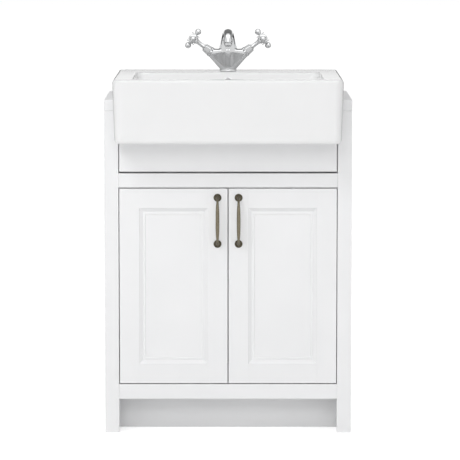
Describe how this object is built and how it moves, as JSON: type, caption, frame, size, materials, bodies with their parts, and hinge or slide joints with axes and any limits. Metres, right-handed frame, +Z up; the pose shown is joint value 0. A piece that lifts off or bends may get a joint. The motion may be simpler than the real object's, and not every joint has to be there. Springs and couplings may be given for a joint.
{
  "type": "semi-recessed vanity unit",
  "caption": "Two-door bathroom vanity with a deep ceramic basin set half into its front, moulded inset doors, bow handles and a cross-handle mixer tap.",
  "frame": {"origin": "on the floor under the middle of the unit's plan", "axes": "+X to the right as seen from the front, +Y to the wall, +Z up"},
  "size_m": [0.61, 0.46, 0.992],
  "materials": {
    "cabinet_paint": "board painted satin white",
    "basin_glaze": "gloss white glaze",
    "tap_chrome": "polished chrome plate",
    "aged_brass": "antique brass, rubbed on the high spots",
    "plated_steel": "bright zinc plate",
    "bare_brass": "machined",
    "seal_rubber": "matt",
    "nut_plastic": "moulded white",
    "cap_porcelain": "gloss white, unmarked"
  },
  "bodies": {
    "cabinet": {"left_side_panel": "cabinet_paint", "right_side_panel": "cabinet_paint", "left_front_leg": "cabinet_paint", "right_front_leg": "cabinet_paint", "left_hinge_packer": "cabinet_paint", "right_hinge_packer": "cabinet_paint", "left_shelf_pin_front": "plated_steel", "left_shelf_pin_back": "plated_steel", "right_shelf_pin_front": "plated_steel", "right_shelf_pin_back": "plated_steel", "mid_rail": "cabinet_paint", "bottom_rail": "cabinet_paint", "cabinet_floor": "cabinet_paint", "plinth": "cabinet_paint", "shelf": "cabinet_paint", "back_panel": "cabinet_paint", "worktop": "cabinet_paint", "fascia_panel": "cabinet_paint", "basin": "basin_glaze", "overflow_ring": "tap_chrome", "left_lower_hinge_arm": "plated_steel", "left_upper_hinge_arm": "plated_steel", "right_lower_hinge_arm": "plated_steel", "right_upper_hinge_arm": "plated_steel", "waste_body": "tap_chrome", "waste_seal": "seal_rubber", "waste_backnut": "nut_plastic", "tap_base_seal": "seal_rubber", "tap_body": "tap_chrome", "tap_aerator": "tap_chrome", "tap_stud": "plated_steel", "tap_clamp_plate": "plated_steel", "tap_backnut": "bare_brass", "left_valve_cartridge": "bare_brass", "left_valve_cover": "tap_chrome", "right_valve_cartridge": "bare_brass", "right_valve_cover": "tap_chrome"},
    "left_door": {"left_door_hinge_stile": "cabinet_paint", "left_door_lock_stile": "cabinet_paint", "left_door_top_rail": "cabinet_paint", "left_door_bottom_rail": "cabinet_paint", "left_door_panel": "cabinet_paint", "left_door_handle": "aged_brass", "left_lower_hinge_cup": "plated_steel", "left_upper_hinge_cup": "plated_steel"},
    "right_door": {"right_door_hinge_stile": "cabinet_paint", "right_door_lock_stile": "cabinet_paint", "right_door_top_rail": "cabinet_paint", "right_door_bottom_rail": "cabinet_paint", "right_door_panel": "cabinet_paint", "right_door_handle": "aged_brass", "right_lower_hinge_cup": "plated_steel", "right_upper_hinge_cup": "plated_steel"},
    "left_tap_handle": {"left_cross_handle": "tap_chrome", "left_index_cap": "cap_porcelain", "left_valve_spindle": "bare_brass"},
    "right_tap_handle": {"right_cross_handle": "tap_chrome", "right_index_cap": "cap_porcelain", "right_valve_spindle": "bare_brass"},
    "waste_plug": {"waste_plug": "tap_chrome"}
  },
  "joints": [
    {"name": "left_door_hinge", "type": "hinge", "parent": "cabinet", "child": "left_door", "pos_m": [-0.269, -0.11, 0.367], "axis": [0, 0, -1], "range_deg": [0, 105]},
    {"name": "right_door_hinge", "type": "hinge", "parent": "cabinet", "child": "right_door", "pos_m": [0.269, -0.11, 0.367], "axis": [0, 0, 1], "range_deg": [0, 105]},
    {"name": "left_tap_turn", "type": "hinge", "parent": "cabinet", "child": "left_tap_handle", "pos_m": [0, 0.155, 0.8995], "axis": [-0.7986, 0, 0.6018], "range_deg": [0, 90]},
    {"name": "right_tap_turn", "type": "hinge", "parent": "cabinet", "child": "right_tap_handle", "pos_m": [0, 0.155, 0.8995], "axis": [-0.7986, 0, -0.6018], "range_deg": [0, 90]},
    {"name": "waste_plug_slide", "type": "slide", "parent": "cabinet", "child": "waste_plug", "axis": [0, 0, 1], "range_m": [0, 0.008]}
  ]
}
